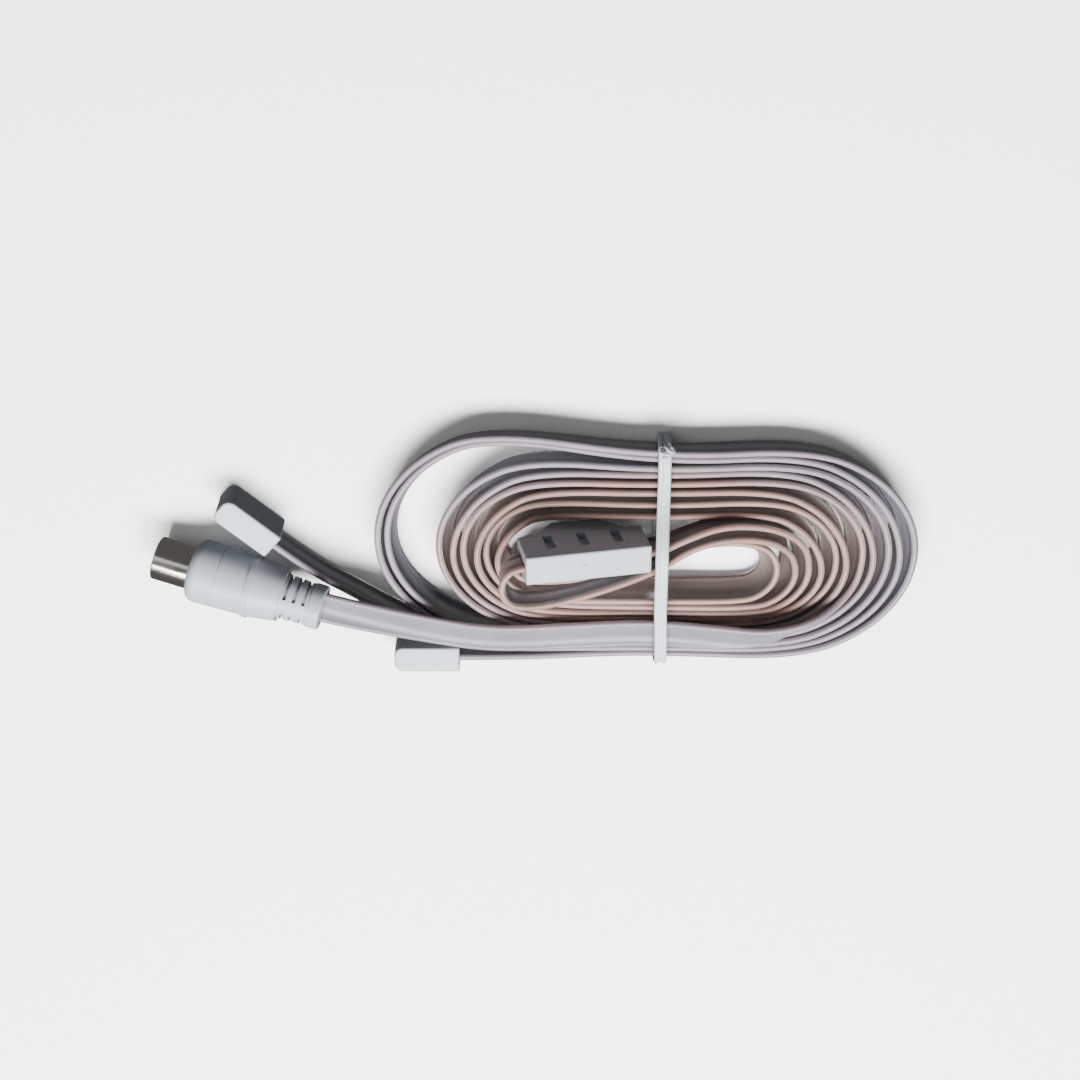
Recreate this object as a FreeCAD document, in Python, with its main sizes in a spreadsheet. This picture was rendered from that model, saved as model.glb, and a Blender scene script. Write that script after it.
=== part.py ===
"""FM wire antenna: a T-shaped dipole of clear flat ribbon, wound in a tied hank with its aerial plug."""
import FreeCAD, Part
import math
import os
import re
import Sketcher

Vector = FreeCAD.Vector
UP = Vector(0, 0, 1)

doc = FreeCAD.newDocument("fm_wire_antenna")
sheet = doc.addObject("Spreadsheet::Sheet", "Sizes")

# Driving dimensions in millimetres and degrees.
SIZES = {
    # wound hank, from the tip of the plug to its far end
    "hank_length": 164.0,
    # clear twin-lead ribbon
    "ribbon_width": 7.2,
    "ribbon_thick": 1.4,
    "ribbon_seat": 5.0,
    "ribbon_clear": 0.2,
    # aerial plug, measured along its axis from the open end of the sleeve
    "sleeve_radius": 4.75,
    "sleeve_wall": 0.5,
    "sleeve_reach": 8.0,
    "sleeve_seat": 5.0,
    "sleeve_lip": 0.35,
    "sleeve_step": 0.2,
    "plug_fit": 0.03,
    "pin_radius": 1.2,
    "pin_setback": 0.6,
    "insulator_setback": 4.0,
    "rim_radius": 7.1,
    "rim_round": 2.2,
    "barrel_length": 13.0,
    "barrel_end_radius": 6.6,
    "seam_offset": 6.2,
    "seam_width": 0.3,
    "seam_depth": 0.15,
    "ring_width": 1.1,
    "ring_height": 0.3,
    "shoulder_length": 6.4,
    "shoulder_end_radius": 5.7,
    "relief_radius": 5.0,
    "relief_length": 6.4,
    "relief_end_radius": 4.7,
    "collar_length": 2.8,
    "collar_radius": 4.95,
    "collar_round": 0.5,
    "slot_count": 3,
    "slot_width": 0.75,
    "slot_pitch": 2.1,
    "slot_floor": 0.3,
    "slot_sweep": 140.0,
    # moulded T
    "tee_length": 27.0,
    "tee_thick": 6.5,
    "tee_wing_height": 10.0,
    "tee_gusset_depth": 5.0,
    "tee_gusset_base": 20.0,
    "tee_gusset_tip": 10.4,
    "tee_round": 0.5,
    "tee_window_width": 2.0,
    "tee_window_height": 5.6,
    "tee_window_drop": 3.3,
    "tee_window_pitch": 7.3,
    "tee_window_depth": 1.4,
    "stem_bend_radius": 2.2,
    "inner_tilt": 12.0,
    # end caps on the arms
    "cap_length": 14.4,
    "cap_height": 8.8,
    "cap_thick": 6.0,
    "cap_nose_round": 2.0,
    "cap_edge_round": 0.5,
    # tie band
    "band_width": 2.8,
    "band_thick": 0.8,
    "band_place": 25.8,
    "band_groove_width": 0.5,
    "band_groove_depth": 0.25,
    "band_knot_radius": 1.1,
}
for row, (alias, number) in enumerate(SIZES.items(), start=1):
    sheet.set(f"A{row}", alias)
    sheet.set(f"B{row}", str(number))
    sheet.setAlias(f"B{row}", alias)
doc.recompute()


def size(alias):
    return float(sheet.get(alias))


def bound(text):
    """Turn a formula on sheet aliases into an expression that FreeCAD follows."""
    return re.sub(r"[a-z][a-z_]+", lambda word: "Sizes." + word.group(0), text)


# Helpers for bodies with sketches

def new_body(label):
    body = doc.addObject("PartDesign::Body", label)
    body.Label = label
    return body


def new_sketch(body, role, name, offset=None):
    plane = next(f for f in body.Origin.OriginFeatures if f.Role == role)
    sketch = body.newObject("Sketcher::SketchObject", name)
    sketch.AttachmentSupport = (plane, [""])
    sketch.MapMode = "FlatFace"
    if offset:
        sketch.setExpression(".AttachmentOffset.Base.z", bound(offset))
    return sketch


def pin_point(sketch, line, along, formula):
    """Fix one coordinate of a corner to a formula, or to the axis when the formula is 0."""
    if formula == "0":
        axis = -2 if along == "X" else -1
        sketch.addConstraint(Sketcher.Constraint("PointOnObject", line, 1, axis))
        return
    index = sketch.addConstraint(Sketcher.Constraint("Distance" + along, -1, 1, line, 1, 1.0))
    sketch.setExpression(f"Constraints[{index}]", bound(formula))


def add_polygon(sketch, corners):
    """A closed outline whose corners are pairs of formulas on the sheet."""
    count = len(corners)
    start = sketch.GeometryCount
    turn = 2 * math.pi / count
    ring = [Vector(10 * math.cos(i * turn), 10 * math.sin(i * turn), 0) for i in range(count)]
    for i in range(count):
        sketch.addGeometry(Part.LineSegment(ring[i], ring[(i + 1) % count]), False)
    for i in range(count):
        joint = Sketcher.Constraint("Coincident", start + i, 2, start + (i + 1) % count, 1)
        sketch.addConstraint(joint)
    for i, (across, upward) in enumerate(corners):
        pin_point(sketch, start + i, "X", across)
        pin_point(sketch, start + i, "Y", upward)


def rectangle(half_across, half_upward):
    return [(f"-({half_across})", f"-({half_upward})"), (half_across, f"-({half_upward})"),
            (half_across, half_upward), (f"-({half_across})", half_upward)]


def add_revolution(body, name, kind, corners):
    """A solid of revolution, or a groove, about the body's X axis."""
    sketch = new_sketch(body, "XY_Plane", name + "_profile")
    add_polygon(sketch, corners)
    feature = body.newObject("PartDesign::" + kind, name)
    feature.Profile = sketch
    feature.ReferenceAxis = (sketch, ["H_Axis"])
    feature.Angle = 360
    doc.recompute()
    return feature


def add_pad(body, role, name, corners, length):
    sketch = new_sketch(body, role, name + "_profile")
    add_polygon(sketch, corners)
    pad = body.newObject("PartDesign::Pad", name)
    pad.Profile = sketch
    pad.SideType = "Symmetric"
    pad.setExpression("Length", bound(length))
    doc.recompute()
    return pad


def add_pocket(body, role, name, outlines, depth, offset, reverse=False):
    """A pocket from a plane at an offset, with its volume compared so that it really cuts."""
    before = body.Shape.Volume
    sketch = new_sketch(body, role, name + "_profile", offset)
    for corners in outlines:
        add_polygon(sketch, corners)
    pocket = body.newObject("PartDesign::Pocket", name)
    pocket.Profile = sketch
    pocket.setExpression("Length", bound(depth))
    pocket.Reversed = reverse
    doc.recompute()
    if body.Shape.Volume > before - 1e-6:
        raise RuntimeError(f"{name} cuts nothing")
    return pocket


def add_fillet(body, name, radius, wanted):
    """Round the edges of the body that the wanted test accepts."""
    base = body.Tip
    names = [f"Edge{i}" for i, edge in enumerate(base.Shape.Edges, start=1) if wanted(edge)]
    fillet = body.newObject("PartDesign::Fillet", name)
    fillet.Base = (base, names)
    fillet.setExpression("Radius", bound(radius))
    doc.recompute()
    return fillet


def ring_edge_at(axial, radius):
    """A test for a full circle about X at one place along the axis."""
    def test(edge):
        circle = edge.Curve
        return (isinstance(circle, Part.Circle) and abs(circle.Center.x - axial) < 1e-4
                and abs(circle.Radius - radius) < 1e-4)
    return test


# Routes of the three ribbons, seen from above, wound clockwise from the T outwards.
# Each turn goes along the upper run, round the right end, back along the lower run and round the left end.

LOBE_ANGLES = (75, 45, 15, -15, -45, -75)
LOBE_LENGTH = 1.25
LOBE_SPREAD = 1 / math.cos(math.radians(15))
WAIST = 0.6


def lobe(end, low, high, side, angles=LOBE_ANGLES):
    """Corners of a half turn round one end of the hank; side is 1 at the right and -1 at the left."""
    half = (high - low) / 2
    length = LOBE_LENGTH * half
    middle = end - side * length
    corners = []
    for angle in angles:
        turn = math.radians(angle) * side
        across = middle + side * length * LOBE_SPREAD * math.cos(turn)
        corners.append((across, (low + high) / 2 + half * LOBE_SPREAD * math.sin(turn)))
    return corners


def right_end(end, low, high, angles=LOBE_ANGLES):
    return lobe(end, low - WAIST, high + WAIST, 1, angles)


def left_end(end, low, high, bulge=WAIST):
    return lobe(end, low - WAIST, high + bulge, -1)


PLACE = size("band_place")
LAST_HALF = (-15, -45, -75)

# The routes are drawn at this length of the hank, and stretched to its own length.
DRAWN_LENGTH = 164.0
STRETCH = size("hank_length") / DRAWN_LENGTH


def along_hank(points):
    return [(x * STRETCH, y) for x, y in points]


TEE_CENTRE = 8.3 * STRETCH

# Each turn is given by how far it reaches and by where its two runs pass under the band.
LEAD_IN_START = along_hank([
    (12.5, -0.5), (4.5, -0.4), (-2.4, -0.5), (-4.0, -2.1), (-4.0, -4.4), (-2.4, -6.0), (4.0, -6.2),
    (14.0, -5.0), (25.0, -2.2), (34.0, 0.8), (42.0, 1.3)])
LEAD_IN_TURNS = along_hank(
    right_end(51.0, -8.4, 0.9, (45, 15, -15, -45, -75)) + [(PLACE, -8.4)]
    + left_end(-8.4, -8.4, 8.6) + [(PLACE, 8.6)]
    + right_end(61.4, -13.6, 8.6) + [(PLACE, -13.6)]
    + left_end(-16.4, -13.6, 14.8) + [(PLACE, 14.8)]
    + right_end(70.6, -17.4, 14.8, (75, 45, 15, -15, -45)) + [(60.0, -16.4)]
)
LEAD_IN_TAIL = along_hank([
    (64.6, -13.4), (54.0, -18.4), (39.5, -19.8), (24.5, -18.0), (10.0, -18.4), (-4.4, -19.4),
    (-13.0, -19.1), (-20.0, -17.9)])

# The left arm curls back under the T as soon as it leaves it, so its first points go with the T.
LEFT_ARM_SEAM = (55.0 * STRETCH, -3.15)
LEFT_ARM_CURL = [(TEE_CENTRE - x, y) for x, y in ((14.9, 3.9), (17.7, 1.1), (17.7, -2.8), (14.9, -5.6))]
LEFT_ARM_START = LEFT_ARM_CURL + along_hank([
    (0.5, -5.9), (11.5, -4.2), (24.3, -0.6), (34.0, 3.0), (43.0, 4.7), (49.6, 4.0), (53.6, 1.6),
    (55.0, -1.2)])
LEFT_ARM_TURNS = along_hank(
    right_end(55.0, -10.2, 3.9, LAST_HALF) + [(PLACE, -10.2)]
    + left_end(-11.0, -10.2, 10.6) + [(PLACE, 10.6)]
    + right_end(64.2, -15.4, 10.6) + [(PLACE, -15.4)]
    + left_end(-19.6, -15.4, 17.0) + [(PLACE, 17.0)]
    + right_end(73.6, -19.0, 17.0) + [(PLACE, -19.0)]
    + left_end(-31.8, -19.0, 21.4, 4.4) + [(PLACE, 21.4)]
    + right_end(79.0, -22.6, 21.4) + [(PLACE, -22.6)]
)
LEFT_ARM_TAIL = along_hank([
    (6.0, -23.2), (-8.0, -23.0), (-19.5, -21.0), (-30.5, -16.0), (-41.0, -9.1), (-49.6, -4.0),
    (-57.2, 2.6)])

RIGHT_ARM_SEAM = (58.5 * STRETCH, -3.0)
RIGHT_ARM_START = along_hank([
    (24.0, 3.9), (31.0, 4.9), (40.0, 6.9), (48.5, 6.5), (54.0, 4.6), (57.2, 1.9), (58.5, -0.9)])
RIGHT_ARM_TURNS = along_hank(
    right_end(58.5, -11.9, 5.9, LAST_HALF) + [(PLACE, -11.9)]
    + left_end(-13.6, -11.9, 12.6) + [(PLACE, 12.6)]
    + right_end(67.0, -17.2, 12.6) + [(PLACE, -17.2)]
    + left_end(-23.2, -17.2, 19.2) + [(PLACE, 19.2)]
    + right_end(76.6, -20.8, 19.2) + [(PLACE, -20.8)]
    + left_end(-34.7, -20.8, 23.5, 5.2) + [(PLACE, 23.5)]
    + right_end(81.2, -24.4, 23.5) + [(PLACE, -24.4)]
)
RIGHT_ARM_TAIL = along_hank([(10.0, -25.0), (-4.0, -25.5), (-17.8, -25.5)])


# Share of the shorter neighbouring run that the arc of a corner takes up.
ARC_SHARE = 0.45


class Corner:
    """One corner of a route: where its arc begins and ends, and how it turns."""

    def __init__(self, before, here, after):
        self.into = (here - before).normalize()
        self.out = (after - here).normalize()
        self.turn = self.into.getAngle(self.out)
        reach = ARC_SHARE * min((here - before).Length, (after - here).Length)
        self.begin = here - self.into * reach
        self.end = here + self.out * reach
        self.radius = reach / math.tan(self.turn / 2)
        inward = (self.out - self.into).normalize()
        self.middle = here + inward * reach * math.tan(self.turn / 4)
        self.along = (self.into + self.out).normalize()

    def edge(self, aside):
        """The arc of this corner, moved aside to the left of the route."""
        points = [p + UP.cross(way) * aside for p, way in
                  ((self.begin, self.into), (self.middle, self.along), (self.end, self.out))]
        return Part.Arc(*points).toShape(), points[0], points[2]


def route_corners(points, closed=False):
    flat = [Vector(x, y, 0) for x, y in points]
    if closed:
        return [Corner(flat[i - 1], flat[i], flat[(i + 1) % len(flat)]) for i in range(len(flat))]
    return [Corner(a, b, c) for a, b, c in zip(flat, flat[1:], flat[2:])]


def side_edges(points, aside, closed=False):
    """Straight runs joined by tangent arcs, moved aside from the route."""
    corners = route_corners(points, closed)
    edges = []
    first, last = Vector(*points[0], 0), Vector(*points[-1], 0)
    here = None if closed else first + UP.cross(corners[0].into) * aside
    for corner in corners:
        arc, begin, end = corner.edge(aside)
        if here is not None:
            edges.append(Part.LineSegment(here, begin).toShape())
        edges.append(arc)
        here = end
    if closed:
        edges.append(Part.LineSegment(here, edges[0].valueAt(edges[0].FirstParameter)).toShape())
    else:
        edges.append(Part.LineSegment(here, last + UP.cross(corners[-1].out) * aside).toShape())
    return edges


def route_length(points):
    return sum(edge.Length for edge in side_edges(points, 0.0))


def strip(name, points, half, height):
    """A ribbon standing or lying along its route: the route widened by half on each side, and extruded."""
    left, right = side_edges(points, half), side_edges(points, -half)
    ends = [Part.LineSegment(left[k].valueAt(left[k].LastParameter if k else left[k].FirstParameter),
                             right[k].valueAt(right[k].LastParameter if k else right[k].FirstParameter))
            for k in (0, -1)]
    wire = Part.Wire(Part.__sortEdges__(left + right + [end.toShape() for end in ends]))
    solid = Part.Face(wire).extrude(UP * height)
    expected = route_length(points) * 2 * half * height
    tightest = min(corner.radius for corner in route_corners(points))
    print(f"{name}: length {route_length(points):.1f}, tightest radius {tightest:.1f}, "
          f"volume over section times length {solid.Volume / expected:.4f}")
    return solid


def midpoint(a, b):
    return ((a[0] + b[0]) / 2, (a[1] + b[1]) / 2)


def beyond(end, before, distance):
    """A point past the end of a route, in line with its last run."""
    way = (Vector(*end, 0) - Vector(*before, 0)).normalize()
    return (end[0] + way.x * distance, end[1] + way.y * distance)


def feature(label, shape, placement=None):
    piece = doc.addObject("Part::Feature", label)
    piece.Label = label
    piece.Shape = shape
    if placement:
        piece.Placement = placement
    return piece


# Heights of the hank

ribbon_half = size("ribbon_thick") / 2
ribbon_width = size("ribbon_width")
strand_foot = size("band_thick")
strand_middle = strand_foot + ribbon_width / 2
strand_top = strand_foot + ribbon_width
seat = size("ribbon_seat")
tilt = size("inner_tilt")


def on_edge(name, points):
    """A stretch of ribbon standing on its edge in the hank."""
    solid = strip(name, points, ribbon_half, ribbon_width)
    solid.translate(UP * strand_foot)
    return solid


def tilted(solid, seam, angle):
    """Raise the T's side of an inner turn about the line where the turn joins the flat hank."""
    solid.rotate(Vector(seam[0], seam[1], strand_middle), Vector(0, 1, 0), angle)
    return solid


# Moulded T: two wings for the arms and a gusset that widens to the lead-in

TEE_MIDDLE = LEFT_ARM_START[0][1]
tee_way = math.radians(tilt)
tee_place = FreeCAD.Placement(
    Vector(LEFT_ARM_SEAM[0] - (LEFT_ARM_SEAM[0] - TEE_CENTRE) * math.cos(tee_way), TEE_MIDDLE,
           strand_middle + (LEFT_ARM_SEAM[0] - TEE_CENTRE) * math.sin(tee_way)),
    FreeCAD.Rotation(Vector(0, 1, 0), tilt))

tee = new_body("tee_junction")
half_wing = "tee_wing_height / 2"
gusset_foot = "-(tee_wing_height / 2 + tee_gusset_depth)"
add_pad(tee, "XZ_Plane", "tee_block", [
    ("-(tee_length / 2)", half_wing), ("-(tee_length / 2)", f"-({half_wing})"),
    ("-(tee_gusset_base / 2)", f"-({half_wing})"), ("-(tee_gusset_tip / 2)", gusset_foot),
    ("tee_gusset_tip / 2", gusset_foot), ("tee_gusset_base / 2", f"-({half_wing})"),
    ("tee_length / 2", f"-({half_wing})"), ("tee_length / 2", half_wing)], "tee_thick")
add_fillet(tee, "tee_edges", "tee_round", lambda edge: True)
ribbon_mouth = rectangle("ribbon_thick / 2 + ribbon_clear", "ribbon_width / 2 + ribbon_clear")
for name, offset, reverse in (("tee_left_mouth", "-(tee_length / 2)", True),
                              ("tee_right_mouth", "tee_length / 2", False)):
    add_pocket(tee, "YZ_Plane", name, [ribbon_mouth], "ribbon_seat", offset, reverse)
add_pocket(tee, "XY_Plane", "tee_stem_mouth",
           [rectangle("ribbon_width / 2 + ribbon_clear", "ribbon_thick / 2 + ribbon_clear")],
           "ribbon_seat", gusset_foot, True)
window_top = "tee_wing_height / 2 - tee_window_drop"
window_foot = "tee_wing_height / 2 - tee_window_drop - tee_window_height"
windows = [[(f"{k} * tee_window_pitch - tee_window_width / 2", window_foot),
            (f"{k} * tee_window_pitch + tee_window_width / 2", window_foot),
            (f"{k} * tee_window_pitch + tee_window_width / 2", window_top),
            (f"{k} * tee_window_pitch - tee_window_width / 2", window_top)] for k in (-1, 0, 1)]
add_pocket(tee, "XZ_Plane", "tee_windows", windows, "tee_window_depth", "-(tee_thick / 2)", True)
window_crown = size("tee_wing_height") / 2 - size("tee_window_drop")
add_fillet(tee, "tee_window_tops", "tee_window_width * 0.45",
           lambda edge: all(abs(v.Z - window_crown) < 1e-4 for v in edge.Vertexes)
           and abs(edge.Vertexes[0].Y - edge.Vertexes[-1].Y) > 0.1)
tee.Placement = tee_place

# Ribbons

wing_reach = size("tee_length") / 2 - seat
left_inner = [(TEE_CENTRE - wing_reach, TEE_MIDDLE)] + LEFT_ARM_START + [LEFT_ARM_SEAM]
left_coil_end = midpoint(LEFT_ARM_TURNS[-1], LEFT_ARM_TAIL[0])
left_arm = tilted(on_edge("left_arm_start", left_inner), LEFT_ARM_SEAM, tilt).fuse(
    on_edge("left_arm_turns", [LEFT_ARM_SEAM] + LEFT_ARM_TURNS + [left_coil_end]))
feature("left_arm_hank", left_arm.removeSplitter())
left_tail_points = [left_coil_end] + LEFT_ARM_TAIL
left_tail_end = beyond(LEFT_ARM_TAIL[-1], LEFT_ARM_TAIL[-2], seat)
feature("left_arm_tail", on_edge("left_arm_tail", left_tail_points[:-1] + [left_tail_end]))

tee_right_mouth = tee_place.multVec(Vector(size("tee_length") / 2, 0, 0))
right_rise = math.degrees(math.atan2(tee_right_mouth.z - strand_middle,
                                     RIGHT_ARM_SEAM[0] - tee_right_mouth.x))
right_mouth_floor = (TEE_CENTRE + wing_reach + size("ribbon_clear"), TEE_MIDDLE)
right_inner = [right_mouth_floor] + RIGHT_ARM_START + [RIGHT_ARM_SEAM]
right_coil_end = midpoint(RIGHT_ARM_TURNS[-1], RIGHT_ARM_TAIL[0])
right_arm = tilted(on_edge("right_arm_start", right_inner), RIGHT_ARM_SEAM, right_rise).fuse(
    on_edge("right_arm_turns", [RIGHT_ARM_SEAM] + RIGHT_ARM_TURNS + [right_coil_end]))
feature("right_arm_hank", right_arm.removeSplitter())
right_tail_points = [right_coil_end] + RIGHT_ARM_TAIL
right_tail_end = beyond(RIGHT_ARM_TAIL[-1], RIGHT_ARM_TAIL[-2], seat)
feature("right_arm_tail", on_edge("right_arm_tail", right_tail_points[:-1] + [right_tail_end]))


def stem_bend():
    """The lead-in's first centimetre: out of the gusset, round under it and up beside the T."""
    bend = size("stem_bend_radius")
    foot = -(size("tee_wing_height") / 2 + size("tee_gusset_depth"))
    half = ribbon_width / 2
    thick = size("ribbon_thick")
    root = Part.makeBox(ribbon_width, thick, seat, Vector(-half, -ribbon_half, foot))
    ring = Part.makeCylinder(bend + ribbon_half, ribbon_width, Vector(-half, -bend, foot), Vector(1, 0, 0))
    ring = ring.cut(Part.makeCylinder(bend - ribbon_half, ribbon_width, Vector(-half, -bend, foot),
                                      Vector(1, 0, 0)))
    ring = ring.common(Part.makeBox(ribbon_width, 4 * bend, 4 * bend,
                                    Vector(-half, -3 * bend, foot - 4 * bend)))
    flap = Part.makeBox(ribbon_width, thick, seat, Vector(-half, -2 * bend - ribbon_half, foot))
    return root.fuse([ring, flap]).transformed(tee_place.toMatrix())


lead_in = on_edge("lead_in_turns", LEAD_IN_START + LEAD_IN_TURNS).fuse(stem_bend())
feature("lead_in_hank", lead_in.removeSplitter())


# Aerial plug, along X from the open end of the sleeve, then turned to where it lies

PLUG_WAY = Vector(0.9565, -0.2475, 0.156).normalize()
rim_height = size("rim_radius") * math.sqrt(1 - PLUG_WAY.z ** 2)
PLUG_TIP = Vector(-82.8 * STRETCH, -1.2, rim_height - size("sleeve_reach") * PLUG_WAY.z)
plug_place = FreeCAD.Placement(PLUG_TIP, FreeCAD.Rotation(PLUG_WAY, Vector(0, 1, 0), UP, "XZY"))

sleeve_end = "sleeve_reach + sleeve_seat"
inner = "sleeve_radius - sleeve_wall"
seat_radius = "sleeve_radius - sleeve_step"
sleeve = new_body("plug_sleeve")
add_revolution(sleeve, "sleeve_tube", "Revolution", [
    ("0", inner), (sleeve_end, inner), (sleeve_end, seat_radius), ("sleeve_reach", seat_radius),
    ("sleeve_reach", "sleeve_radius"), ("0", "sleeve_radius")])
add_fillet(sleeve, "sleeve_rim", "sleeve_lip", ring_edge_at(0.0, size("sleeve_radius")))
sleeve.Placement = plug_place

insulator = new_body("plug_insulator")
add_revolution(insulator, "insulator_disc", "Revolution", [
    ("insulator_setback", "pin_radius + plug_fit"), (sleeve_end, "pin_radius + plug_fit"),
    (sleeve_end, f"{inner} - plug_fit"), ("insulator_setback", f"{inner} - plug_fit")])
insulator.Placement = plug_place

pin = new_body("plug_pin")
add_revolution(pin, "pin_rod", "Revolution", [
    ("pin_setback", "0"), ("pin_setback", "pin_radius / 2"), ("pin_setback + pin_radius", "pin_radius"),
    (sleeve_end, "pin_radius"), (sleeve_end, "0")])
pin.Placement = plug_place

ring_at = "sleeve_reach + barrel_length"
shoulder_at = f"{ring_at} + ring_width"
relief_at = f"{shoulder_at} + shoulder_length"
collar_at = f"{relief_at} + relief_length"
plug_end = f"{collar_at} + collar_length"
housing = new_body("plug_housing")
add_revolution(housing, "housing_turned", "Revolution", [
    ("sleeve_reach", "0"), ("sleeve_reach", "rim_radius"), (ring_at, "barrel_end_radius"),
    (ring_at, "barrel_end_radius + ring_height"), (shoulder_at, "barrel_end_radius + ring_height"),
    (shoulder_at, "barrel_end_radius"), (relief_at, "shoulder_end_radius"), (relief_at, "relief_radius"),
    (collar_at, "relief_end_radius"), (collar_at, "collar_radius"),
    (plug_end, "collar_radius"), (plug_end, "0")])
add_fillet(housing, "housing_rim", "rim_round", ring_edge_at(size("sleeve_reach"), size("rim_radius")))
plug_length = sum(size(k) for k in ("sleeve_reach", "barrel_length", "ring_width", "shoulder_length",
                                    "relief_length", "collar_length"))
add_fillet(housing, "collar_edge", "collar_round", ring_edge_at(plug_length, size("collar_radius")))
seam_at = "sleeve_reach + seam_offset"
seam_floor = "rim_radius - (rim_radius - barrel_end_radius) * seam_offset / barrel_length - seam_depth"
add_revolution(housing, "housing_seam", "Groove", [
    (seam_at, seam_floor), (f"{seam_at} + seam_width", seam_floor),
    (f"{seam_at} + seam_width", "rim_radius + 1"), (seam_at, "rim_radius + 1")])
add_revolution(housing, "sleeve_bore", "Groove", [
    ("sleeve_reach", "0"), (sleeve_end, "0"), (sleeve_end, f"{seat_radius} + plug_fit"),
    ("sleeve_reach", f"{seat_radius} + plug_fit")])
add_pocket(housing, "YZ_Plane", "ribbon_mouth",
           [rectangle("ribbon_width / 2 + ribbon_clear", "ribbon_thick / 2 + ribbon_clear")],
           "ribbon_seat", plug_end, False)

# Slots of the strain relief: rows of curved cuts on both sides, with a spine left above and below
# and a floor left over the ribbon.
slot_at = f"{relief_at} + (relief_length - (slot_count - 1) * slot_pitch - slot_width) / 2"
slot_bed, slot_mouth = "ribbon_width / 2 + ribbon_clear + slot_floor", "relief_radius + slot_width"
slot_cuts = []
for name, side in (("slot_left", ""), ("slot_right", "-")):
    before = housing.Shape.Volume
    slot = add_revolution(housing, name, "Groove", [
        (slot_at, f"{side}({slot_bed})"), (slot_at, f"{side}({slot_mouth})"),
        (f"{slot_at} + slot_width", f"{side}({slot_mouth})"),
        (f"{slot_at} + slot_width", f"{side}({slot_bed})")])
    slot.Midplane = True
    slot.setExpression("Angle", bound("slot_sweep"))
    doc.recompute()
    if housing.Shape.Volume > before - 1e-6:
        raise RuntimeError(f"{name} cuts nothing")
    slot_cuts.append(slot)
slot_rows = housing.newObject("PartDesign::LinearPattern", "slot_rows")
slot_rows.Originals = slot_cuts
slot_rows.Direction = (slot_cuts[0].Profile[0], ["H_Axis"])
slot_rows.setExpression("Length", bound("(slot_count - 1) * slot_pitch"))
slot_rows.setExpression("Occurrences", bound("slot_count"))
housing.Tip = slot_rows
housing.Placement = plug_place
doc.recompute()


# Lead-in from the hank to the plug: flat on the hank's edges, then up to the mouth of the plug

RISE_OF_CLIMB = 1.2


def flat_section(centre, way):
    """The ribbon's outline across a way, with its width level."""
    across = UP.cross(way).normalize()
    upward = way.cross(across).normalize()
    signs = ((-1, -1), (1, -1), (1, 1), (-1, 1))
    corners = [centre + across * (a * ribbon_width / 2) + upward * (b * ribbon_half) for a, b in signs]
    return Part.makePolygon(corners + corners[:1])


def lead_in_tail():
    flat = strip("lead_in_tail", LEAD_IN_TAIL, ribbon_width / 2, size("ribbon_thick"))
    flat.translate(UP * strand_top)
    last, before = Vector(*LEAD_IN_TAIL[-1], 0), Vector(*LEAD_IN_TAIL[-2], 0)
    level = UP * (strand_top + ribbon_half)
    plug_mouth = plug_place.multVec(Vector(plug_length, 0, 0))
    plug_floor = plug_place.multVec(Vector(plug_length - seat, 0, 0))
    toward_plug = (last - before).normalize()
    out_of_plug = plug_place.Rotation.multVec(Vector(-1, 0, 0))
    climb_middle = (last + level + plug_mouth) / 2 + UP * RISE_OF_CLIMB
    climb_way = (plug_mouth - last - level).normalize()
    sections = [flat_section(last + level, toward_plug), flat_section(climb_middle, climb_way),
                flat_section(plug_mouth, out_of_plug), flat_section(plug_floor, out_of_plug)]
    climb = Part.makeLoft(sections, True, True)
    return flat.fuse(climb)


feature("lead_in_tail", lead_in_tail().removeSplitter())


# End caps: a moulded block with a rounded nose, open at one end for its ribbon

def end_cap(label, mouth, before):
    cap = new_body(label)
    add_pad(cap, "XZ_Plane", label + "_block", [
        ("0", "-(cap_height / 2)"), ("cap_length", "-(cap_height / 2)"),
        ("cap_length", "cap_height / 2"), ("0", "cap_height / 2")], "cap_thick")
    nose = size("cap_length")
    add_fillet(cap, label + "_nose", "cap_nose_round",
               lambda edge: all(abs(v.X - nose) < 1e-4 for v in edge.Vertexes)
               and abs(edge.Vertexes[0].Z - edge.Vertexes[1].Z) > 1)
    add_fillet(cap, label + "_edges", "cap_edge_round",
               lambda edge: all(abs(abs(v.Z) - size("cap_height") / 2) < 1e-4 for v in edge.Vertexes))
    add_pocket(cap, "YZ_Plane", label + "_mouth", [ribbon_mouth], "ribbon_seat", None, True)
    way = Vector(*mouth, 0) - Vector(*before, 0)
    cap.Placement = FreeCAD.Placement(Vector(*mouth, strand_middle), FreeCAD.Rotation(Vector(1, 0, 0), way))
    return cap


end_cap("left_arm_cap", LEFT_ARM_TAIL[-1], LEFT_ARM_TAIL[-2])
end_cap("right_arm_cap", RIGHT_ARM_TAIL[-1], RIGHT_ARM_TAIL[-2])


# Tie band: a flat strap of two lobes round the hank, with the small twist of its ends at the upper side

band_foot, lead_top = strand_foot, strand_top + size("ribbon_thick")
inner_rise = (LEFT_ARM_SEAM[0] - PLACE * STRETCH) * math.tan(math.radians(tilt))
band_crown = strand_middle + inner_rise + ribbon_width / 2 / math.cos(math.radians(tilt)) + 1.0
BAND_SHOULDER = (25.4, strand_top + 0.1)
# The inner face of the band as it is seen along the hank: across the hank and up.
BAND_ROUTE = [(-25.35, band_foot), (-25.55, band_foot + 0.3), (-25.55, strand_top + 0.1),
              (-24.6, strand_top + 1.0), (-21.5, lead_top + 0.8), (-13.0, lead_top + 1.0),
              (-4.4, band_crown), (8.8, band_crown), (15.0, strand_top + 1.9), (24.3, strand_top + 1.0),
              BAND_SHOULDER, (25.4, band_foot + 0.3), (25.2, band_foot)]


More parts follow.
